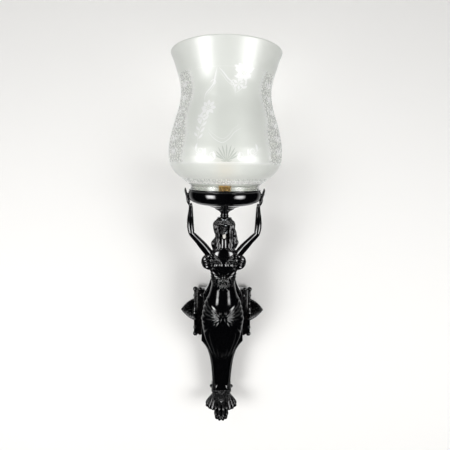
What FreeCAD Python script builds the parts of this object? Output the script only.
import FreeCAD
import Part
import math
import os

# Figural wall lamp: a draped woman cast in black-painted metal stands out from a wall plate on a console
# that ends in a lion's paw, and holds up a shallow dish with both hands. A brass holder stands in the
# dish, and a frosted glass shade lifts off its rim.
# Row frame, millimetres: origin on the wall, at the centre of the wall plate. +Z is up and the lamp stands
# out from the wall towards -Y, so a point's reach is its distance from the wall.

# Wall plate: a shallow cast box, open at the back, with a ball-ended rod down each side.
plate_width = 91.0
plate_height = 84.0
plate_depth = 14.0
plate_wall = 3.0
rod_radius = 3.2
rod_bite = 0.6              # how far a rod is cast into the plate's side
ball_radius = 4.3
ball_inset = 0.2            # ball centre below the plate's corner
crest_radius = 3.2
crest_inset = 6.0           # small crest bead, in from the plate's side
clasp_radius = 5.4          # oval clasp round each rod where the leaf springs
clasp_half_height = 11.0

# Fan leaves cast separately and soldered to the plate's sides, behind the rods.
leaf_reach = 29.5           # from the plate's side to the leaf's tip
leaf_height = 44.0
leaf_thickness = 4.0
leaf_back = 1.0             # leaf's back face off the wall
leaf_rib_radius = 1.3
leaf_rib_count = 7
leaf_rib_spread = 62.0      # degrees from the lowest rib to the highest

# Steel mounting plate that is screwed to the wall, with two standoffs that the wall plate's screws enter.
mounting_side_clearance = 1.5       # to the wall plate's inside, each side
mounting_top = 37.5
mounting_bottom = -8.0
mounting_thickness = 2.0
wall_screw_spacing = 51.0
wall_hole_radius = 2.5
cable_hole_radius = 6.0
cable_hole_level = 17.0
plate_screw_inset = 4.0     # plate screws, in from the mounting plate's sides
plate_screw_level = 31.0
plate_screw_radius = 2.0
plate_screw_head_radius = 3.6
plate_screw_head_height = 2.2
standoff_radius = 3.6
thread_clearance = 0.05
hole_clearance = 0.25

# Console: the cast bracket behind the figure, hollow from the back, that runs down into the stem.
console_top = 86.0
console_top_half_width = 18.5
console_upper_inset = 14.0  # console's side, in from the plate's side, at the plate's upper edge
console_lower_inset = 9.5   # the same at the plate's lower edge
flare_waist_half_width = 25.0       # halfway down the flare that joins the block to the stem
flare_waist_level = -61.5
stem_top = -95.0
stem_top_half_width = 18.2
stem_bottom = -134.5
stem_bottom_half_width = 16.2
stem_back = 10.0            # stem's open back off the wall
seat_top_reach = 64.0       # where the figure's back meets the console, from the wall
seat_upper_reach = 51.0
seat_upper_level = 40.0
seat_lower_reach = 48.0
seat_lower_level = -10.0
seat_foot_reach = 44.0
seat_foot_level = -62.0
stem_bottom_reach = 38.0
casting_wall = 4.0
panel_border = 3.4          # raised border of the stem's front panel
panel_depth = 1.6
boss_radius = 5.0
boss_spread = 22.0          # bosses for the bracket screws, either side of the centre
boss_level = 27.0
bracket_screw_radius = 2.5
bracket_screw_head_radius = 4.5
bracket_screw_head_height = 2.6
bracket_screw_bite = 12.0

# Foot: a collar with ball ends, a lion's paw and two flaring leaves.
collar_height = 5.0
collar_lip = 1.8
collar_ball_radius = 3.0
paw_height = 41.5
paw_half_width = 11.0
paw_reach = 66.0            # tips of the claws from the wall
toe_radius = 4.0
claw_length = 5.5
foot_leaf_half_width = 30.0
foot_leaf_thickness = 8.0
foot_leaf_lean = 19.0       # degrees that the leaves lean forward from the ankle
foot_screw_radius = 2.5

# Figure: horizontal oval sections of the dress and torso, each (level, half width, centre reach, half depth).
dress_sections = [
    (-68.0, 17.0, 49.0, 8.0),
    (-56.0, 20.5, 51.0, 15.0),
    (-40.0, 23.5, 54.0, 21.0),
    (-18.0, 31.0, 58.5, 26.0),
    (8.0, 34.0, 63.0, 29.0),
    (38.0, 28.3, 68.0, 27.5),
    (57.0, 22.6, 73.5, 22.0),
    (73.0, 19.0, 78.3, 18.2),
    (88.0, 19.3, 82.6, 16.5),
    (104.0, 21.3, 88.5, 17.0),
    (120.0, 22.5, 93.5, 15.5),
    (131.0, 18.5, 97.5, 11.5),
    (137.0, 9.5, 99.5, 8.5),
]
neck_joint = 142.0
neck_radius = 6.2
neck_reach = 101.0
bust_radius = 9.6
bust_spread = 9.6
bust_reach = 100.5
bust_level = 112.5
sleeve_radius = 10.6
sleeve_spread = 22.6
sleeve_reach = 94.0
sleeve_level = 113.5
knot_radius = 5.0           # gathered knot where the drapery is caught up over the thighs
knot_level = 26.0
knot_sink = 1.5             # centre of the knot behind the dress's surface
dress_bead_radius = 2.5     # two beads on the dress above the knot
dress_bead_spread = 4.2
dress_bead_rise = 4.5
# Raised folds from the knot, each point (distance from the middle, rise above the knot, radius): swags up
# to the hips, and folds that hang and draw together towards the dress's pointed end.
swag_folds = [(2.0, 1.0, 3.0), (9.0, 4.0, 2.6), (17.0, 9.5, 2.4), (23.0, 16.0, 1.8)]
hanging_folds = [(2.0, -2.0, 3.0), (9.5, -20.0, 2.4), (14.0, -42.0, 2.2), (9.5, -66.0, 1.8)]

# Head, hair and face.
head_level = 167.0
hair_radius = 15.2
hair_half_height = 13.0
face_radius = 9.4
face_half_height = 12.6
face_forward = 6.4          # face centre ahead of the hair's centre
crown_level = 181.0
lock_spread = 14.5
lock_radius = 5.2
lock_end_level = 133.0

# Arms, raised and bent; the hands hold the dish by its sides.
shoulder_spread = 20.0
shoulder_reach = 94.0
shoulder_level = 124.0
elbow_spread = 47.0
elbow_reach = 112.0
elbow_level = 160.0
wrist_spread = 48.6
wrist_reach = 107.0
wrist_level = 198.5
upper_arm_radius = 5.6
elbow_radius = 4.5
forearm_radius = 4.9
wrist_radius = 2.9
palm_thickness = 4.0
heel_of_hand = 13.0         # above the wrist, where the palm meets the dish
finger_radius = 1.35
finger_length = 12.0
finger_pitch = 2.7
tenon_radius = 3.6
tenon_length = 7.0
tenon_clearance = 0.05
shoulder_pin_radius = 1.2
shoulder_pin_back = 12.0    # ends of the pin, behind and in front of the shoulder's centre
shoulder_pin_front = 2.0
hand_screw_radius = 1.0
hand_screw_head_radius = 2.0
hand_screw_head_height = 1.0

# Dish, its turned neck, and the gallery plate that closes it and carries the shade.
axis_reach = 106.0          # upright axis of dish, holder and shade, from the wall
rim_level = 224.0
dish_radius = 52.4
dish_depth = 24.0           # rim to the joint with the turned neck
dish_wall = 2.0
gallery_lip = 2.0           # rim above the gallery plate's floor
gallery_thickness = 1.6
gallery_clearance = 0.3
dish_neck_waist = 4.9

# Threaded tube and brass fittings on the dish's axis.
tube_radius = 5.0
tube_bore_radius = 4.0
tube_bottom = 160.0
tube_clearance = 0.05
pillar_radius = 9.8
pillar_height = 15.0
pillar_flange_radius = 10.6
pillar_flange_height = 2.2
holder_radius = 12.0
holder_cap_height = 8.0
holder_skirt_height = 22.0
holder_skirt_wall = 0.7
insert_clearance = 0.15
insert_height = 15.0
liner_wall = 0.5
liner_clearance = 0.1
contact_width = 5.0
contact_thickness = 0.5

# Lamp bulb with a small screw cap.
bulb_cap_radius = 6.95
bulb_cap_length = 24.0
bulb_cap_clearance = 0.08
bulb_glass_radius = 22.5
bulb_glass_wall = 0.8
bulb_neck_radius = 8.6
bulb_tip_radius = 2.2
bulb_tip_height = 1.6

# Glass shade: a waisted bell whose plain collar stands inside the gallery's lip. Each point of its
# outer profile is (radius, height above the collar's foot).
shade_profile = [
    (49.0, 9.0),
    (69.7, 24.0),
    (79.2, 42.0),
    (79.5, 57.0),
    (71.1, 94.6),
    (63.3, 121.5),
    (62.3, 135.0),
    (66.3, 157.4),
    (75.4, 183.5),
]
shade_collar_height = 6.0
shade_wall = 3.0

# Mains cable inside the casting, its earth screw, and the terminal strip behind the plate.
flex_radius = 2.5
channel_radius = 3.3
terminal_width = 26.0
terminal_height = 14.0
terminal_depth = 8.0
terminal_level = -13.0      # top face of the terminal strip
terminal_count = 3
terminal_screw_radius = 1.5
terminal_screw_height = 0.8
fixing_screw_radius = 1.0
fixing_screw_bite = 2.0
earth_spread = 17.0
earth_screw_radius = 2.0
earth_head_radius = 3.4
earth_head_height = 2.2
lock_nut_flats = 14.0       # across flats, clamps the dish down on its neck
lock_nut_height = 4.0
figure_wall = 3.5           # the figure is cast hollow below the shoulders
figure_hollow_top = 107.0
figure_hollow_bottom = -58.0

# Placed from the values above.
gallery_floor = rim_level - gallery_lip
dish_bottom = rim_level - dish_depth
liner_bore_radius = bulb_cap_radius + bulb_cap_clearance
collar_level = stem_bottom
paw_top = collar_level - collar_height
paw_bottom = paw_top - paw_height
mounting_width = plate_width - 2 * (plate_wall + mounting_side_clearance)
plate_screw_spacing = mounting_width - 2 * plate_screw_inset
console_upper_half_width = plate_width / 2 - console_upper_inset
console_lower_half_width = plate_width / 2 - console_lower_inset
rod_spread = plate_width / 2 + rod_radius - rod_bite
rod_reach = plate_depth - rod_radius
pocket_reach = plate_depth - plate_wall
terminal_reach = pocket_reach - terminal_depth
flex_reach_in_plate = pocket_reach - terminal_depth / 2
pillar_top = gallery_floor + pillar_height
holder_skirt_bottom = pillar_top + holder_cap_height
insert_bottom = holder_skirt_bottom - 3.0
contact_level = insert_bottom + 5.0
bulb_bottom = contact_level + 1.4
bulb_cap_top = bulb_bottom + bulb_tip_height + bulb_cap_length
bulb_centre = bulb_cap_top + math.sqrt(bulb_glass_radius ** 2 - bulb_neck_radius ** 2) + 4.0
SIDES = (("left", -1), ("right", 1))


def at(x, reach, z):
    """A point by its distance out from the wall."""
    return FreeCAD.Vector(x, -reach, z)


X_AXIS = FreeCAD.Vector(1, 0, 0)
Y_AXIS = FreeCAD.Vector(0, 1, 0)
Z_AXIS = FreeCAD.Vector(0, 0, 1)


def fuse(solids):
    joined = solids[0]
    if len(solids) > 1:
        joined = joined.multiFuse(solids[1:])
    return joined.removeSplitter()


def box(width, reach_from, reach_to, z_from, z_to, x=0.0):
    corner = FreeCAD.Vector(x - width / 2, -reach_to, z_from)
    return Part.makeBox(width, reach_to - reach_from, z_to - z_from, corner)


def bar_y(radius, x, z, reach_from, reach_to):
    """A round bar square to the wall."""
    return Part.makeCylinder(radius, reach_to - reach_from, at(x, reach_to, z), Y_AXIS)


def bar_z(radius, z_from, z_to, x=0.0, reach=axis_reach):
    return Part.makeCylinder(radius, z_to - z_from, at(x, reach, z_from), Z_AXIS)


def oval(half_width, half_depth, reach, z):
    """A closed horizontal oval, as two half ellipses that start on the same side."""
    if half_width >= half_depth:
        ellipse = Part.Ellipse(at(0, reach, z), half_width, half_depth)
    else:
        ellipse = Part.Ellipse(at(0, reach - half_depth, z), at(half_width, reach, z), at(0, reach, z))
    return Part.Wire([ellipse.toShape()])


def prism_x(points, half_width):
    """A (reach, z) outline in the side view, run through the full width."""
    corners = [at(-half_width, reach, z) for reach, z in points]
    face = Part.Face(Part.makePolygon(corners + corners[:1]))
    return face.extrude(FreeCAD.Vector(2 * half_width, 0, 0))


def limb(stations):
    """Tapered round limb: cones between balls. Each station is (point, radius)."""
    pieces = [Part.makeSphere(radius, point) for point, radius in stations]
    for (start, r_start), (end, r_end) in zip(stations, stations[1:]):
        along = end.sub(start)
        if abs(r_start - r_end) < 1e-6:
            pieces.append(Part.makeCylinder(r_start, along.Length, start, along))
        else:
            pieces.append(Part.makeCone(r_start, r_end, along.Length, start, along))
    return fuse(pieces)


def turned(outline, reach=axis_reach):
    """Revolves a closed (radius, z) outline of straight edges about an upright axis."""
    corners = [at(radius, reach, z) for radius, z in outline]
    face = Part.Face(Part.makePolygon(corners + corners[:1]))
    return face.revolve(at(0, reach, 0), Z_AXIS, 360)


def curve_through(points, reach=axis_reach):
    spline = Part.BSplineCurve()
    spline.interpolate([at(radius, reach, z) for radius, z in points])
    return spline


def line(start, end, reach=axis_reach):
    return Part.LineSegment(at(start[0], reach, start[1]), at(end[0], reach, end[1])).toShape()


def spun(edges, reach=axis_reach):
    face = Part.Face(Part.Wire(edges))
    return face.revolve(at(0, reach, 0), Z_AXIS, 360)


def arc_corner(before, corner, after, radius):
    """The two tangent points and the arc that rounds one corner of a route."""
    towards_before = before.sub(corner).normalize()
    towards_after = after.sub(corner).normalize()
    half = towards_before.getAngle(towards_after) / 2
    cut = radius / math.tan(half)
    first = corner.add(towards_before * cut)
    last = corner.add(towards_after * cut)
    bisector = towards_before.add(towards_after).normalize()
    middle = corner.add(bisector * (radius / math.sin(half) - radius))
    return first, last, Part.Arc(first, middle, last).toShape()


def routed_tube(route, radius):
    """A round tube along straight runs joined by tangent arcs, as large as the shorter run allows."""
    edges = []
    start = route[0]
    for before, corner, after in zip(route, route[1:], route[2:]):
        turn = math.pi - before.sub(corner).getAngle(after.sub(corner))
        shorter = min(before.distanceToPoint(corner), corner.distanceToPoint(after))
        bend = 0.45 * shorter / math.tan(turn / 2)
        first, last, arc = arc_corner(before, corner, after, bend)
        edges += [Part.LineSegment(start, first).toShape(), arc]
        start = last
    edges.append(Part.LineSegment(start, route[-1]).toShape())
    spine = Part.Wire(edges)
    section = Part.Wire([Part.Circle(route[0], route[1].sub(route[0]), radius).toShape()])
    return spine.makePipeShell([section], True, False)


# ---------------------------------------------------------------- wall plate and its leaves

def make_wall_plate():
    shell = box(plate_width, 0, plate_depth, -plate_height / 2, plate_height / 2)
    pieces = [shell]
    ball_level = plate_height / 2 - ball_inset
    for _, side in SIDES:
        pieces.append(bar_z(rod_radius, -ball_level, ball_level, side * rod_spread, rod_reach))
        for end in (-1, 1):
            pieces.append(Part.makeSphere(ball_radius, at(side * rod_spread, rod_reach, end * ball_level)))
            crest = at(side * (plate_width / 2 - crest_inset), plate_depth - crest_radius,
                       end * plate_height / 2)
            pieces.append(Part.makeSphere(crest_radius, crest))
        pieces.append(leaf_clasp(side))
    plate = fuse(pieces)
    pocket = box(plate_width - 2 * plate_wall, -ball_radius, pocket_reach,
                 plate_wall - plate_height / 2, plate_height / 2 - plate_wall)
    plate = plate.cut(pocket)
    for screw in terminal_fixings(0):
        plate = plate.cut(screw)
    for _, side in SIDES:
        plate = plate.cut(bar_y(plate_screw_radius + hole_clearance, side * plate_screw_spacing / 2,
                                plate_screw_level, 0, plate_depth + 1))
        for level in (-boss_level, boss_level):
            plate = plate.cut(bar_y(bracket_screw_radius + hole_clearance, side * boss_spread, level,
                                    0, plate_depth + 1))
    return plate


def leaf_clasp(side):
    clasp = ellipsoid(clasp_radius, clasp_half_height, rod_reach, 0)
    clasp.translate(FreeCAD.Vector(side * rod_spread, 0, 0))
    return clasp


def make_side_leaf(side):
    """Fan leaf: a pointed outline with ribs that spread from its root towards its edge."""
    root = plate_width / 2
    half = leaf_height / 2
    tip = at(side * (root + leaf_reach), leaf_back, 0)
    edges = [Part.LineSegment(at(side * root, leaf_back, half), at(side * root, leaf_back, -half)).toShape()]
    bulge = at(side * (root + 0.58 * leaf_reach), leaf_back, -0.70 * half)
    edges.append(Part.Arc(at(side * root, leaf_back, -half), bulge, tip).toShape())
    bulge = at(side * (root + 0.58 * leaf_reach), leaf_back, 0.70 * half)
    edges.append(Part.Arc(tip, bulge, at(side * root, leaf_back, half)).toShape())
    blade = Part.Face(Part.Wire(edges)).extrude(FreeCAD.Vector(0, -leaf_thickness, 0))
    ribs = []
    front = leaf_back + leaf_thickness
    rib_root = rod_spread + 0.2 * rod_radius
    for number in range(leaf_rib_count):
        share = 2 * number / (leaf_rib_count - 1) - 1
        angle = math.radians(leaf_rib_spread / 2 * share)
        reach_out = leaf_reach - (rib_root - root)
        along = FreeCAD.Vector(side * math.cos(angle), 0, math.sin(angle))
        start = at(side * rib_root, front - leaf_rib_radius / 2, 0.35 * leaf_height * share / 2)
        ribs.append(Part.makeCylinder(leaf_rib_radius, reach_out, start, along))
    outline = blade.copy()
    outline.translate(FreeCAD.Vector(0, -leaf_rib_radius, 0))
    blade = blade.multiFuse([rib.common(outline.fuse(blade)) for rib in ribs]).removeSplitter()
    clear_rod = bar_z(rod_radius + hole_clearance, -plate_height, plate_height, side * rod_spread, rod_reach)
    return blade.cut(clear_rod).cut(leaf_clasp(side))


# ---------------------------------------------------------------- mounting plate, standoffs and screws

def make_mounting_plate():
    plate = box(mounting_width, 0, mounting_thickness, mounting_bottom, mounting_top)
    holes = [bar_y(wall_hole_radius, side * wall_screw_spacing / 2, 0, -1, mounting_thickness + 1)
             for _, side in SIDES]
    holes.append(bar_y(cable_hole_radius, 0, cable_hole_level, -1, mounting_thickness + 1))
    holes.append(bar_y(earth_screw_radius + thread_clearance, earth_spread, cable_hole_level,
                       -1, mounting_thickness + 1))
    for hole in holes:
        plate = plate.cut(hole)
    return plate


def make_standoffs():
    standoffs = []
    for _, side in SIDES:
        x = side * plate_screw_spacing / 2
        body = bar_y(standoff_radius, x, plate_screw_level, mounting_thickness, pocket_reach)
        bore = bar_y(plate_screw_radius + thread_clearance, x, plate_screw_level, mounting_thickness + 1,
                     pocket_reach + 1)
        standoffs.append(body.cut(bore))
    return Part.makeCompound(standoffs)


def domed_screw(radius, head_radius, head_height, x, z, seat_reach, tip_reach):
    """A screw driven towards the wall: a domed head in front of seat_reach."""
    rise = (head_radius ** 2 + head_height ** 2) / (2 * head_height)
    dome = Part.makeSphere(rise, at(x, seat_reach + head_height - rise, z))
    head = dome.common(bar_y(head_radius, x, z, seat_reach, seat_reach + head_height + 1))
    return fuse([head, bar_y(radius, x, z, tip_reach, seat_reach + head_height / 2)])


def make_plate_screws():
    tip = mounting_thickness + 2.0
    return Part.makeCompound([
        domed_screw(plate_screw_radius, plate_screw_head_radius, plate_screw_head_height,
                    side * plate_screw_spacing / 2, plate_screw_level, plate_depth, tip)
        for _, side in SIDES])


def make_earth_screw():
    shank = bar_y(earth_screw_radius, earth_spread, cable_hole_level, 0.4,
                  mounting_thickness + earth_head_height / 2)
    head = bar_y(earth_head_radius, earth_spread, cable_hole_level, mounting_thickness,
                 mounting_thickness + earth_head_height)
    return fuse([shank, head])


def make_bracket_screws():
    """Pan heads inside the plate's pocket; shanks run out into the console's bosses."""
    screws = []
    for _, side in SIDES:
        for level in (-boss_level, boss_level):
            x = side * boss_spread
            head = bar_y(bracket_screw_head_radius, x, level,
                         pocket_reach - bracket_screw_head_height, pocket_reach)
            shank = bar_y(bracket_screw_radius, x, level, pocket_reach - bracket_screw_head_height / 2,
                          plate_depth + bracket_screw_bite)
            screws.append(fuse([head, shank]))
    return Part.makeCompound(screws)


# ---------------------------------------------------------------- console and stem

def console_block(inset, back_shift):
    """The console's mass, as its front outline times its side outline, drawn in by inset."""
    upper = console_upper_half_width - inset
    lower = console_lower_half_width - inset
    top = console_top - inset
    block_top = plate_height / 2 - 1.0 - inset
    block_bottom = 1.0 - plate_height / 2 + inset
    widths = [(console_top_half_width - inset, top), (stem_top_half_width - inset, stem_top),
              (stem_bottom_half_width - inset, stem_bottom + inset)]
    deep = 4 * axis_reach

    def flat(x, z):
        return at(x, -axis_reach, z)

    edges = []
    for side in (-1, 1):
        upper_mid = flat(side * (0.35 * upper + 0.65 * widths[0][0]), 0.46 * top + 0.54 * block_top)
        lower_mid = flat(side * (flare_waist_half_width - inset), flare_waist_level)
        path = [
            Part.Arc(flat(side * widths[0][0], top), upper_mid, flat(side * upper, block_top)),
            Part.LineSegment(flat(side * upper, block_top), flat(side * lower, block_bottom)),
            Part.Arc(flat(side * lower, block_bottom), lower_mid, flat(side * widths[1][0], stem_top)),
            Part.LineSegment(flat(side * widths[1][0], stem_top), flat(side * widths[2][0], widths[2][1])),
        ]
        edges += [piece.toShape() for piece in path]
    edges.append(Part.LineSegment(flat(-widths[0][0], top), flat(widths[0][0], top)).toShape())
    foot_left, foot_right = flat(-widths[2][0], widths[2][1]), flat(widths[2][0], widths[2][1])
    edges.append(Part.LineSegment(foot_left, foot_right).toShape())
    outline = Part.Wire(Part.__sortEdges__(edges))
    front = Part.Face(outline).extrude(FreeCAD.Vector(0, -deep, 0))

    side_view = [
        (plate_depth - back_shift, block_top),
        (0.45 * seat_top_reach + 0.55 * plate_depth - back_shift, block_top + 0.30 * (top - block_top)),
        (0.8 * seat_top_reach + 0.2 * plate_depth - back_shift, block_top + 0.68 * (top - block_top)),
        (seat_top_reach - inset, top),
        (seat_upper_reach - inset, seat_upper_level),
        (seat_lower_reach - inset, seat_lower_level),
        (seat_foot_reach - inset, seat_foot_level),
        (stem_bottom_reach - inset, stem_bottom + inset),
        (stem_back - back_shift, stem_bottom + inset),
        (stem_back - back_shift, stem_top),
        (plate_depth - back_shift, -plate_height / 2),
    ]
    return front.common(prism_x(side_view, 2 * plate_width))


def make_console():
    mass = console_block(0, 0)
    console = mass.cut(console_block(casting_wall, plate_depth + casting_wall))
    bosses = []
    for _, side in SIDES:
        for level in (-boss_level, boss_level):
            boss = bar_y(boss_radius, side * boss_spread, level, plate_depth, seat_top_reach)
            bosses.append(boss.common(mass))
    console = console.multiFuse(bosses).removeSplitter()
    for _, side in SIDES:
        for level in (-boss_level, boss_level):
            console = console.cut(bar_y(bracket_screw_radius + thread_clearance, side * boss_spread, level,
                                        plate_depth - 1, plate_depth + bracket_screw_bite + 1))
    return console.cut(stem_panel()).cut(foot_screw_hole())


def stem_front_reach(z):
    share = (seat_foot_level - z) / (seat_foot_level - stem_bottom)
    return seat_foot_reach + share * (stem_bottom_reach - seat_foot_reach)


def stem_panel():
    """The sunk front panel of the stem, between its raised borders."""
    top = seat_foot_level + 10.0
    bottom = stem_bottom + panel_border + 2.0
    half_top = stem_top_half_width - panel_border
    half_bottom = stem_bottom_half_width - panel_border
    corners = [(-half_top, top), (half_top, top), (half_bottom, bottom), (-half_bottom, bottom)]
    wire = Part.makePolygon([at(x, stem_front_reach(z) - panel_depth, z) for x, z in corners + corners[:1]])
    return Part.Face(wire).extrude(FreeCAD.Vector(0, -10 * panel_depth, 0))


# ---------------------------------------------------------------- collar, paw and foot leaves

def foot_centre_reach():
    return (stem_back + stem_bottom_reach) / 2


def foot_screw_hole():
    return bar_z(foot_screw_radius + thread_clearance, collar_level - 1, collar_level + casting_wall + 1,
                 0, foot_centre_reach())


def make_foot_collar():
    half = stem_bottom_half_width + collar_lip
    band = box(2 * half, stem_back - 1, stem_bottom_reach + collar_lip,
               collar_level - collar_height, collar_level)
    upright = [edge for edge in band.Edges if abs(edge.tangentAt(edge.FirstParameter).z) > 0.9]
    band = band.makeFillet(collar_lip, upright)
    balls = [Part.makeSphere(collar_ball_radius, at(side * half, foot_centre_reach(),
                                                    collar_level - collar_height / 2)) for _, side in SIDES]
    collar = fuse([band] + balls)
    return collar.cut(bar_z(foot_screw_radius + hole_clearance, collar_level - 2 * collar_height,
                            collar_level + 1, 0, foot_centre_reach()))


def make_paw():
    """Ankle and instep lofted as one, with four clawed toes: the right half, then its mirror image."""
    ankle = foot_centre_reach()
    sections = [
        (0.0, 0.0, 1.0, 13.0),
        (0.2, 0.04, 0.93, 12.5),
        (0.42, 0.18, 0.97, 16.0),
        (0.66, 0.34, 1.0, 17.0),
        (0.86, 0.46, 0.9, 13.0),
    ]
    wires = []
    for drop, forward, width, half_depth in sections:
        reach = ankle + forward * (paw_reach - ankle)
        wires.append(oval(width * paw_half_width, half_depth, reach, paw_top - drop * paw_height))
    pieces = [Part.makeLoft(wires, True, False)]
    for x, setback in ((paw_half_width / 4, 0.0), (3 * paw_half_width / 4, 3.5)):
        tip_reach = paw_reach - claw_length - setback
        sole = paw_bottom + toe_radius + 1.0
        heel = at(0.85 * x, tip_reach - 22.0, paw_bottom + 2.6 * toe_radius)
        knuckle = at(x, tip_reach - 11.0, paw_bottom + 3.1 * toe_radius)
        pad = at(1.08 * x, tip_reach - toe_radius, sole)
        claw_tip = at(1.12 * x, tip_reach + claw_length, paw_bottom + 0.6)
        pieces.append(limb([(heel, toe_radius), (knuckle, 1.05 * toe_radius), (pad, 0.98 * toe_radius)]))
        pieces.append(limb([(pad, 0.5 * toe_radius), (claw_tip, 0.6)]))
    half_space = box(2 * foot_leaf_half_width, 0, 2 * paw_reach, paw_bottom - 9, paw_top + 9,
                     foot_leaf_half_width)
    half = fuse(pieces).common(half_space)
    paw = fuse([half, half.mirror(at(0, 0, 0), X_AXIS)])
    return paw.cut(bar_z(foot_screw_radius + thread_clearance, paw_top - 16.0, paw_top + 1, 0, ankle))


def make_foot_leaf(side, paw):
    """A leaf that flares out beside the paw and leans forward with it."""
    ankle = foot_centre_reach()
    root_x = 0.55 * paw_half_width
    shoulder_x = stem_bottom_half_width + 0.6
    points = [
        (root_x, paw_top - 0.02 * paw_height),
        (shoulder_x - 1.0, paw_top - 0.08 * paw_height),
        (shoulder_x + 2.0, paw_top - 0.28 * paw_height),
        (0.93 * foot_leaf_half_width, paw_top - 0.54 * paw_height),
        (foot_leaf_half_width, paw_top - 0.69 * paw_height),
        (0.87 * foot_leaf_half_width, paw_top - 0.82 * paw_height),
        (0.62 * foot_leaf_half_width, paw_top - 0.93 * paw_height),
        (root_x, paw_top - 0.97 * paw_height),
    ]
    edge = Part.BSplineCurve()
    edge.interpolate([at(side * x, ankle - foot_leaf_thickness / 2, z) for x, z in points])
    closing = Part.LineSegment(edge.EndPoint, edge.StartPoint).toShape()
    blade = Part.Face(Part.Wire([edge.toShape(), closing]))
    blade = blade.extrude(FreeCAD.Vector(0, -foot_leaf_thickness, 0))
    front = ankle + foot_leaf_thickness / 2
    vein = limb([(at(side * shoulder_x * 0.8, front, paw_top - 0.16 * paw_height), 2.8),
                 (at(side * 0.83 * foot_leaf_half_width, front, paw_top - 0.66 * paw_height), 1.8)])
    leaf = fuse([blade, vein])
    leaf.rotate(at(0, ankle, paw_top), X_AXIS, -foot_leaf_lean)
    below_collar = box(4 * foot_leaf_half_width, 0, 4 * ankle, paw_bottom, paw_top)
    return leaf.common(below_collar).cut(paw)


def make_foot_screw():
    head_top = collar_level + casting_wall
    shank = bar_z(foot_screw_radius, paw_top - 14.0, head_top + 1.0, 0, foot_centre_reach())
    head = bar_z(1.8 * foot_screw_radius, head_top, head_top + 2.6, 0, foot_centre_reach())
    return fuse([shank, head])


# ---------------------------------------------------------------- figure

def behind_seat(extra):
    """Everything between the wall and the line where the figure's back meets the console."""
    outline = [
        (-1.0, console_top + extra),
        (seat_top_reach, console_top + extra),
        (seat_top_reach, console_top),
        (seat_upper_reach, seat_upper_level),
        (seat_lower_reach, seat_lower_level),
        (seat_foot_reach, seat_foot_level),
        (stem_bottom_reach, stem_bottom),
        (-1.0, stem_bottom),
    ]
    return prism_x(outline, 2 * plate_width)


def figure_hollow():
    """The hollow of the casting: the dress drawn in by its wall, open at the back."""
    inner = [oval(half_width - figure_wall, half_depth - figure_wall, reach, z)
             for z, half_width, reach, half_depth in dress_sections if half_depth > 2 * figure_wall]
    core = Part.makeLoft(inner, True, False)
    slab = box(8 * axis_reach, 0, 4 * axis_reach, figure_hollow_bottom, figure_hollow_top)
    return core.common(slab)


def dress_point(x, z):
    """A point on the front of the dress, between the ovals below and above its level."""
    for low, high in zip(dress_sections, dress_sections[1:]):
        if low[0] <= z <= high[0]:
            share = (z - low[0]) / (high[0] - low[0])
            _, half_width, reach, half_depth = [a + (b - a) * share for a, b in zip(low, high)]
            return at(x, reach + half_depth * math.sqrt(1 - (x / half_width) ** 2), z)
    raise ValueError("no dress at this level")


def make_figure_body():
    sections = [oval(half_width, half_depth, reach, z) for z, half_width, reach, half_depth in dress_sections]
    torso = Part.makeLoft(sections, True, False)
    torso = torso.cut(figure_hollow())
    last = dress_sections[-1]
    neck = Part.makeLoft([oval(last[1] - 0.6, last[3] - 0.6, last[2], last[0] - 1.0),
                          oval(neck_radius, neck_radius, neck_reach, neck_joint)], True, True)
    pieces = [torso, neck]
    for _, side in SIDES:
        pieces.append(Part.makeSphere(bust_radius, at(side * bust_spread, bust_reach, bust_level)))
        pieces.append(Part.makeSphere(sleeve_radius, at(side * sleeve_spread, sleeve_reach, sleeve_level)))
        pieces.append(limb([(at(side * sleeve_spread, sleeve_reach, sleeve_level + 2), sleeve_radius - 2.0),
                            (at(side * shoulder_spread, shoulder_reach, shoulder_level + 1), 7.0)]))
    knot = dress_point(0, knot_level)
    pieces.append(Part.makeSphere(knot_radius, at(0, -knot.y - knot_sink, knot_level)))
    for _, side in SIDES:
        pieces.append(Part.makeSphere(dress_bead_radius,
                                      dress_point(side * dress_bead_spread, knot_level + dress_bead_rise)))
        for fold in (swag_folds, hanging_folds):
            pieces.append(limb([(dress_point(side * x, knot_level + rise), radius)
                                for x, rise, radius in fold]))
    body = fuse(pieces).cut(behind_seat(0))
    for _, side in SIDES:
        body = body.cut(arm_tenon(side, tenon_clearance))
        body = body.cut(shoulder_pin(side, hole_clearance / 5))
    return body


def make_head(body):
    centre = head_reach()
    neck = Part.makeLoft([oval(neck_radius, neck_radius, neck_reach, neck_joint),
                          oval(neck_radius, neck_radius + 1, neck_reach + 2, head_level - 8)], True, True)
    pieces = [neck, ellipsoid(hair_radius, hair_half_height, centre, head_level + 1.5),
              ellipsoid(face_radius, face_half_height, centre + face_forward, head_level - 2.0)]
    for _, side in SIDES:
        pieces.append(limb([
            (at(side * (hair_radius - 3.5), centre + 1, head_level + 2), 4.5),
            (at(side * (lock_spread - 1.5), centre - 1, head_level - 14), lock_radius),
            (at(side * (lock_spread + 1.5), centre + 1, lock_end_level + 6), lock_radius + 0.6),
            (at(side * (lock_spread - 1.5), centre + 3, lock_end_level), lock_radius - 1.6)]))
    pieces.append(limb([(at(0, centre - 8, head_level), 8.5), (at(0, centre - 13, neck_joint - 2), 6.5),
                        (at(0, centre - 18, neck_joint - 22), 3.0)]))
    head = fuse(pieces).cut(body)
    above = box(6 * hair_radius, 0, 3 * axis_reach, crown_level, crown_level + 3 * hair_half_height)
    head = head.cut(above)
    head = head.cut(bar_z(tube_radius + tube_clearance, tube_bottom, crown_level + 1))
    return head


def head_reach():
    return axis_reach - 1.5


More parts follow.
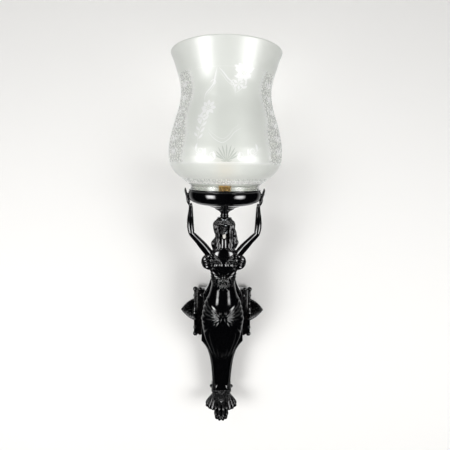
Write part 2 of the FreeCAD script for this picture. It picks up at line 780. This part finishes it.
def ellipsoid(radius, half_height, reach, z):
    """An upright ellipsoid of revolution."""
    centre = at(0, reach, z)
    if half_height >= radius:
        ellipse = Part.Ellipse(at(0, reach, z + half_height), at(radius, reach, z), centre)
        start, end = -math.pi, 0.0
    else:
        ellipse = Part.Ellipse(at(radius, reach, z), at(0, reach, z + half_height), centre)
        start, end = -math.pi / 2, math.pi / 2
    arc = Part.ArcOfEllipse(ellipse, start, end)
    chord = Part.LineSegment(arc.EndPoint, arc.StartPoint).toShape()
    return Part.Face(Part.Wire([arc.toShape(), chord])).revolve(centre, Z_AXIS, 360)


# ---------------------------------------------------------------- arms and hands

def shoulder_point(side):
    return at(side * shoulder_spread, shoulder_reach, shoulder_level)


def elbow_point(side):
    return at(side * elbow_spread, elbow_reach, elbow_level)


def arm_tenon(side, clearance):
    """The stub at the arm's root that enters the shoulder."""
    root = shoulder_point(side)
    along = elbow_point(side).sub(root).normalize()
    start = root.sub(along * tenon_length)
    return Part.makeCylinder(tenon_radius + clearance, 3 * tenon_length, start, along)


def shoulder_pin(side, clearance):
    root = shoulder_point(side)
    return bar_y(shoulder_pin_radius + clearance, root.x, root.z,
                 shoulder_reach - shoulder_pin_back, shoulder_reach + shoulder_pin_front)


def hand_slope(height):
    """How far the hand leans outwards at a height above the wrist, keeping clear of the dish's side."""
    outward = dish_radius + palm_thickness / 2 + hole_clearance - wrist_spread
    return wrist_spread + outward * min(1.0, height / heel_of_hand)


def make_arm(side, body, dish):
    root = shoulder_point(side)
    elbow = elbow_point(side)
    wrist = at(side * wrist_spread, wrist_reach, wrist_level)
    along = elbow.sub(root)
    belly = elbow.add(wrist.sub(elbow) * 0.25)
    arm = limb([(root.add(along * 0.05), upper_arm_radius), (root.add(along * 0.4), upper_arm_radius - 0.2),
                (elbow, elbow_radius), (belly, forearm_radius), (wrist, wrist_radius)])
    pieces = [arm.cut(body), arm_tenon(side, 0).common(limb([(root.sub(along * 0.1), 1.6 * tenon_length),
                                                           (root.add(along * 0.3), tenon_length)]))]
    palm_top = wrist_level + 15.0
    palm_x = hand_slope(15.0)
    for number in range(4):
        across = (number - 1.5) * finger_pitch
        knuckle = at(side * palm_x, wrist_reach + across, palm_top)
        tip_rise = finger_length - 0.8 * abs(number - 1.2)
        tip = at(side * (palm_x + 1.8), wrist_reach + 1.25 * across, palm_top + tip_rise)
        heel = at(side * (wrist_spread + 1.2), wrist_reach + 0.3 * across, wrist_level + 2.0)
        pieces.append(limb([(heel, 2.3), (knuckle, palm_thickness / 2), (tip, finger_radius)]))
    thumb = limb([(at(side * (wrist_spread + 1.5), wrist_reach + 2.0, wrist_level + 4.0), 2.0),
                  (at(side * (palm_x - 0.4), wrist_reach + 7.6, wrist_level + 13.0), 1.6),
                  (at(side * (palm_x - 0.2), wrist_reach + 8.4, wrist_level + 18.5), 1.2)])
    pieces.append(thumb)
    arm = fuse(pieces).cut(dish)
    arm = arm.cut(shoulder_pin(side, hole_clearance / 5))
    return arm.cut(hand_screw(side, thread_clearance))


def hand_screw(side, clearance):
    """From inside the dish, out through its side into the palm."""
    level = wrist_level + 14.0
    inside = dish_radius - dish_wall - hand_screw_head_height - 0.6
    start = at(side * inside, wrist_reach, level)
    along = X_AXIS * side
    shank = Part.makeCylinder(hand_screw_radius + clearance, dish_wall + 5.0, start, along)
    head = Part.makeCylinder(hand_screw_head_radius, hand_screw_head_height, start, along)
    return fuse([shank, head])


# ---------------------------------------------------------------- dish, neck and gallery

def dish_outer():
    """Outer profile of the dish, from its joint with the neck up to the lip."""
    return [
        (0.250 * dish_radius, dish_bottom - 5.4),
        (0.400 * dish_radius, dish_bottom - 1.6),
        (0.535 * dish_radius, dish_bottom + 0.2),
        (0.765 * dish_radius, dish_bottom + 3.2),
        (0.930 * dish_radius, dish_bottom + 7.6),
        (0.992 * dish_radius, dish_bottom + 13.0),
        (dish_radius, dish_bottom + 18.0),
        (0.975 * dish_radius, rim_level),
    ]


def make_dish():
    outer = dish_outer()
    floor_radius = outer[0][0]
    ledge_radius = outer[-1][0] - dish_wall - 2.4
    lip_inner = outer[-1][0] - dish_wall + 0.2
    ledge = gallery_floor - gallery_thickness
    skin = curve_through(outer)
    inner_points = [(max(radius - dish_wall, 2.0) if z > dish_bottom + 5 else radius - 1.0, z + dish_wall)
                    for radius, z in outer[:-2]]
    last_radius, last_z = inner_points[-1]
    edges = [skin.toShape(), line(outer[-1], (lip_inner, rim_level)),
             line((lip_inner, rim_level), (lip_inner, ledge)),
             line((lip_inner, ledge), (ledge_radius, ledge)),
             line((ledge_radius, ledge), (last_radius, last_z))]
    inside = curve_through(list(reversed(inner_points)))
    edges.append(inside.toShape())
    first_radius, first_z = inner_points[0]
    edges.append(line((first_radius, first_z), (tube_radius + tube_clearance, first_z)))
    edges.append(line((tube_radius + tube_clearance, first_z), (tube_radius + tube_clearance, outer[0][1])))
    edges.append(line((tube_radius + tube_clearance, outer[0][1]), (floor_radius, outer[0][1])))
    dish = spun(edges)
    for _, side in SIDES:
        dish = dish.cut(hand_screw(side, thread_clearance))
    return dish


def make_dish_neck():
    top_radius, top = dish_outer()[0]
    bottom = crown_level
    waist_level = crown_level + 6.0
    outline = [(tube_radius + tube_clearance, bottom), (8.6, bottom), (8.4, bottom + 1.6),
               (6.9, bottom + 2.8),
               (waist_radius(), waist_level), (7.6, waist_level + 2.6), (top_radius - 1.6, top - 2.2),
               (top_radius, top), (tube_radius + tube_clearance, top)]
    return turned(outline)


def waist_radius():
    return max(dish_neck_waist, tube_radius + 1.0)


def make_gallery_plate():
    outer = dish_outer()[-1][0] - dish_wall + 0.2 - gallery_clearance
    disc = bar_z(outer, gallery_floor - gallery_thickness, gallery_floor)
    return disc.cut(bar_z(tube_radius + tube_clearance, gallery_floor - 9, gallery_floor + 1))


def make_lock_nut():
    """Hexagon nut on the tube, down on the dish's floor."""
    floor = dish_outer()[0][1] + dish_wall
    corner = lock_nut_flats / math.sqrt(3)
    corners = []
    for turn in range(7):
        angle = math.radians(60 * turn)
        corners.append(at(corner * math.cos(angle), axis_reach + corner * math.sin(angle), floor))
    nut = Part.Face(Part.makePolygon(corners)).extrude(FreeCAD.Vector(0, 0, lock_nut_height))
    return nut.cut(bar_z(tube_radius + tube_clearance, floor - 1, floor + lock_nut_height + 1))


# ---------------------------------------------------------------- tube, pillar and lampholder

def make_support_tube():
    tube = bar_z(tube_radius, tube_bottom, pillar_top + 4.0)
    return tube.cut(bar_z(tube_bore_radius, tube_bottom - 1, pillar_top + 5.0))


def make_brass_pillar():
    base = gallery_floor
    bore = tube_radius + tube_clearance
    outline = [(bore, base), (pillar_flange_radius, base),
               (pillar_flange_radius, base + 0.6 * pillar_flange_height),
               (pillar_radius, base + pillar_flange_height), (pillar_radius, base + 0.46 * pillar_height),
               (pillar_radius - 0.9, base + 0.52 * pillar_height),
               (pillar_radius, base + 0.58 * pillar_height),
               (pillar_radius, pillar_top - 1.0), (pillar_radius - 1.0, pillar_top), (bore, pillar_top)]
    return turned(outline)


def make_holder_cap():
    top = holder_skirt_bottom
    bore = tube_radius + tube_clearance
    inner_top = top - 1.0
    outline = [(bore, pillar_top), (pillar_radius - 1.2, pillar_top), (pillar_radius + 0.4, pillar_top + 3.0),
               (holder_radius, top - 2.5), (holder_radius, top),
               (holder_radius - 2 * holder_skirt_wall, top),
               (holder_radius - 2 * holder_skirt_wall, inner_top - 2.0),
               (pillar_radius - 2.2, pillar_top + 4.0),
               (bore, pillar_top + 4.0)]
    return turned(outline)


def make_holder_skirt():
    bottom = holder_skirt_bottom
    top = bottom + holder_skirt_height
    inner = holder_radius - holder_skirt_wall
    mouth = liner_bore_radius + 1.4
    outline = [(holder_radius, bottom), (holder_radius, top - 2.0), (holder_radius - 1.4, top), (mouth, top),
               (mouth, top - holder_skirt_wall), (inner - 1.2, top - holder_skirt_wall),
               (inner, top - 2.2), (inner, bottom)]
    return turned(outline)


def insert_radius():
    return holder_radius - 2 * holder_skirt_wall - insert_clearance


def make_holder_insert():
    """White porcelain body with a well for the bulb's cap."""
    well = liner_bore_radius + liner_wall + liner_clearance
    body = bar_z(insert_radius(), insert_bottom, insert_bottom + insert_height)
    body = body.cut(bar_z(well, contact_level - 1.0, insert_bottom + insert_height + 1))
    for _, side in SIDES:
        body = body.cut(bar_z(flex_radius / 2, insert_bottom - 1, contact_level, side * 3.0))
        body = body.cut(holder_terminal(side, thread_clearance))
    return body


def holder_terminal(side, clearance):
    level = insert_bottom + 2.6
    start = at(side * 5.2, axis_reach, level)
    return Part.makeCylinder(1.2 + clearance, insert_radius() - 5.2, start, X_AXIS * side)


def make_thread_liner():
    outer = liner_bore_radius + liner_wall
    top = holder_skirt_bottom + holder_skirt_height - holder_skirt_wall - 0.3
    bottom = contact_level + 2.0
    return bar_z(outer, bottom, top).cut(bar_z(liner_bore_radius, bottom - 1, top + 1))


def make_centre_contact():
    """A bent strip: flat on the insert's floor, rising to the bulb's tip."""
    floor = contact_level - 1.0
    rise = bulb_bottom - 0.05 - floor
    run = 5.0
    lower = box(run, axis_reach - contact_width / 2, axis_reach + contact_width / 2, floor,
                floor + contact_thickness, -run / 2)
    post = box(contact_thickness, axis_reach - contact_width / 2, axis_reach + contact_width / 2, floor,
               floor + rise, -run + contact_thickness / 2)
    upper = box(run + 2.0, axis_reach - contact_width / 2, axis_reach + contact_width / 2,
                floor + rise - contact_thickness, floor + rise, -run / 2 + 1.0)
    return fuse([lower, post, upper])


# ---------------------------------------------------------------- bulb

def make_bulb_cap():
    shell = bar_z(bulb_cap_radius, bulb_bottom + bulb_tip_height + 1.0, bulb_cap_top)
    groove_pitch = 2.8
    grooves = []
    level = bulb_bottom + bulb_tip_height + 4.0
    while level < bulb_cap_top - 5.0:
        ring = Part.makeTorus(bulb_cap_radius + 0.5, 0.9, at(0, axis_reach, level), Z_AXIS)
        grooves.append(ring)
        level += groove_pitch
    for ring in grooves:
        shell = shell.cut(ring)
    base = Part.makeCone(bulb_tip_radius + 1.0, bulb_cap_radius - 1.2, 1.0,
                         at(0, axis_reach, bulb_bottom + bulb_tip_height), Z_AXIS)
    tip = bar_z(bulb_tip_radius, bulb_bottom, bulb_bottom + bulb_tip_height)
    return fuse([shell, base, tip])


def make_bulb_glass():
    neck_top = bulb_centre - math.sqrt(bulb_glass_radius ** 2 - bulb_neck_radius ** 2)
    outer = fuse([Part.makeSphere(bulb_glass_radius, at(0, axis_reach, bulb_centre)),
                  bar_z(bulb_neck_radius, bulb_cap_top, neck_top + 1.0)])
    inner = fuse([Part.makeSphere(bulb_glass_radius - bulb_glass_wall, at(0, axis_reach, bulb_centre)),
                  bar_z(bulb_neck_radius - bulb_glass_wall, bulb_cap_top + bulb_glass_wall, neck_top + 2.0)])
    return outer.cut(inner)


def make_bulb_mount():
    """Glass stem, two support wires and the coiled filament across them, as one hanging group."""
    foot = bulb_cap_top + bulb_glass_wall
    stem_top = bulb_centre - 9.0
    stem = fuse([bar_z(2.4, foot, stem_top), Part.makeSphere(2.6, at(0, axis_reach, stem_top))])
    wires = []
    spread = 8.0
    for _, side in SIDES:
        wires.append(limb([(at(side * 1.2, axis_reach, stem_top - 2.0), 0.35),
                           (at(side * spread, axis_reach, bulb_centre + 4.0), 0.35)]))
    filament = limb([(at(-spread, axis_reach, bulb_centre + 4.0), 0.6),
                     (at(0, axis_reach, bulb_centre + 6.5), 0.6),
                     (at(spread, axis_reach, bulb_centre + 4.0), 0.6)])
    return fuse([stem] + wires + [filament])


# ---------------------------------------------------------------- glass shade

def make_glass_shade():
    foot = gallery_floor
    outer = [(radius, foot + height) for radius, height in shade_profile]
    collar_radius = outer[0][0]
    skin = curve_through([(collar_radius, foot + shade_collar_height)] + outer[1:])
    first, last = skin.FirstParameter, skin.LastParameter
    inner_points = []
    steps = 9
    for number in range(steps + 1):
        u = first + (last - first) * number / steps
        point = skin.value(u)
        along = skin.tangent(u)[0]
        inner_points.append((point.x - along.z * shade_wall, point.z + along.x * shade_wall))
    inner_collar = collar_radius - shade_wall
    inner_points[0] = (inner_collar, foot + shade_collar_height + 2.2)
    top_radius, top = outer[-1]
    inner_points[-1] = (top_radius - shade_wall, top - 0.8)
    inner = curve_through(list(reversed(inner_points)))
    lip = Part.Arc(at(top_radius, axis_reach, top), at(top_radius - shade_wall / 2, axis_reach, top + 1.2),
                   at(top_radius - shade_wall, axis_reach, top - 0.8)).toShape()
    edges = [skin.toShape(), lip, inner.toShape(),
             line(inner_points[0], (inner_collar, foot)), line((inner_collar, foot), (collar_radius, foot)),
             line((collar_radius, foot), (collar_radius, foot + shade_collar_height))]
    return spun(edges)


# ---------------------------------------------------------------- wiring

def flex_route():
    return [
        at(0, flex_reach_in_plate, terminal_level),
        at(0, flex_reach_in_plate, terminal_level + 36.0),
        at(0, 44.0, 60.0),
        at(0, 84.0, 98.0),
        at(0, neck_reach - 1.5, neck_joint - 12.0),
        at(0, axis_reach, tube_bottom + 4.0),
        at(0, axis_reach, pillar_top + 5.0),
    ]


def make_lamp_flex():
    return routed_tube(flex_route(), flex_radius)


def flex_channel():
    route = flex_route()
    return routed_tube(route[:-2] + [at(0, axis_reach, tube_bottom + 2.0),
                                     at(0, axis_reach, tube_bottom + 24.0)],
                       channel_radius)


def make_terminal_block():
    block = box(terminal_width, terminal_reach, pocket_reach, terminal_level - terminal_height,
                terminal_level)
    for screw in terminal_fixings(hole_clearance / 2):
        block = block.cut(screw)
    return block.cut(make_terminal_screw_set(thread_clearance))


def terminal_fixings(clearance):
    """Two screws between the poles, into the back of the plate's front wall."""
    pitch = terminal_width / terminal_count
    return [bar_y(fixing_screw_radius + clearance, side * pitch / 2, terminal_level - terminal_height / 2,
                  terminal_reach, pocket_reach + fixing_screw_bite) for _, side in SIDES]


def make_terminal_screw_set(clearance):
    pitch = terminal_width / terminal_count
    screws = []
    for number in range(terminal_count):
        x = (number - (terminal_count - 1) / 2) * pitch
        for share in (0.28, 0.72):
            level = terminal_level - share * terminal_height
            screws.append(bar_y(terminal_screw_radius + clearance, x, level,
                                terminal_reach - terminal_screw_height, terminal_reach + 2.5))
    return Part.makeCompound(screws)


def main():
    os.makedirs("parts", exist_ok=True)
    body = make_figure_body()
    dish = make_dish()
    channel = flex_channel()
    head = make_head(body).cut(channel)
    arms = {name: make_arm(side, body, dish) for name, side in SIDES}
    body = body.cut(channel)
    paw = make_paw()
    nodes = {
        "wall_plate": make_wall_plate().cut(channel),
        "mounting_plate": make_mounting_plate(),
        "standoffs": make_standoffs(),
        "plate_screws": make_plate_screws(),
        "bracket_screws": make_bracket_screws(),
        "earth_screw": make_earth_screw(),
        "console": make_console().cut(channel),
        "foot_collar": make_foot_collar(),
        "paw_foot": paw,
        "foot_screw": make_foot_screw(),
        "figure_body": body,
        "head": head,
        "dish": dish,
        "dish_neck": make_dish_neck(),
        "lock_nut": make_lock_nut(),
        "gallery_plate": make_gallery_plate(),
        "support_tube": make_support_tube(),
        "brass_pillar": make_brass_pillar(),
        "holder_cap": make_holder_cap(),
        "holder_skirt": make_holder_skirt(),
        "holder_insert": make_holder_insert(),
        "holder_terminals": Part.makeCompound([holder_terminal(side, 0) for _, side in SIDES]),
        "thread_liner": make_thread_liner(),
        "centre_contact": make_centre_contact(),
        "bulb_cap": make_bulb_cap(),
        "bulb_glass": make_bulb_glass(),
        "bulb_mount": make_bulb_mount(),
        "glass_shade": make_glass_shade(),
        "lamp_flex": make_lamp_flex(),
        "terminal_block": make_terminal_block(),
        "terminal_screws": make_terminal_screw_set(0),
        "terminal_fixings": Part.makeCompound(terminal_fixings(0)),
    }
    for name, side in SIDES:
        nodes["side_leaf_" + name] = make_side_leaf(side)
        nodes["foot_leaf_" + name] = make_foot_leaf(side, paw)
        nodes["arm_" + name] = arms[name]
        nodes["shoulder_pin_" + name] = shoulder_pin(side, 0)
        nodes["hand_screw_" + name] = hand_screw(side, 0)
    for name, shape in nodes.items():
        solids = shape.Solids
        valid = shape.isValid() and all(solid.isClosed() for solid in solids)
        print(name, "solids", len(solids), "volume", round(shape.Volume), "ok" if valid else "NOT VALID")
        shape.exportStep("parts/" + name + ".step")


main()
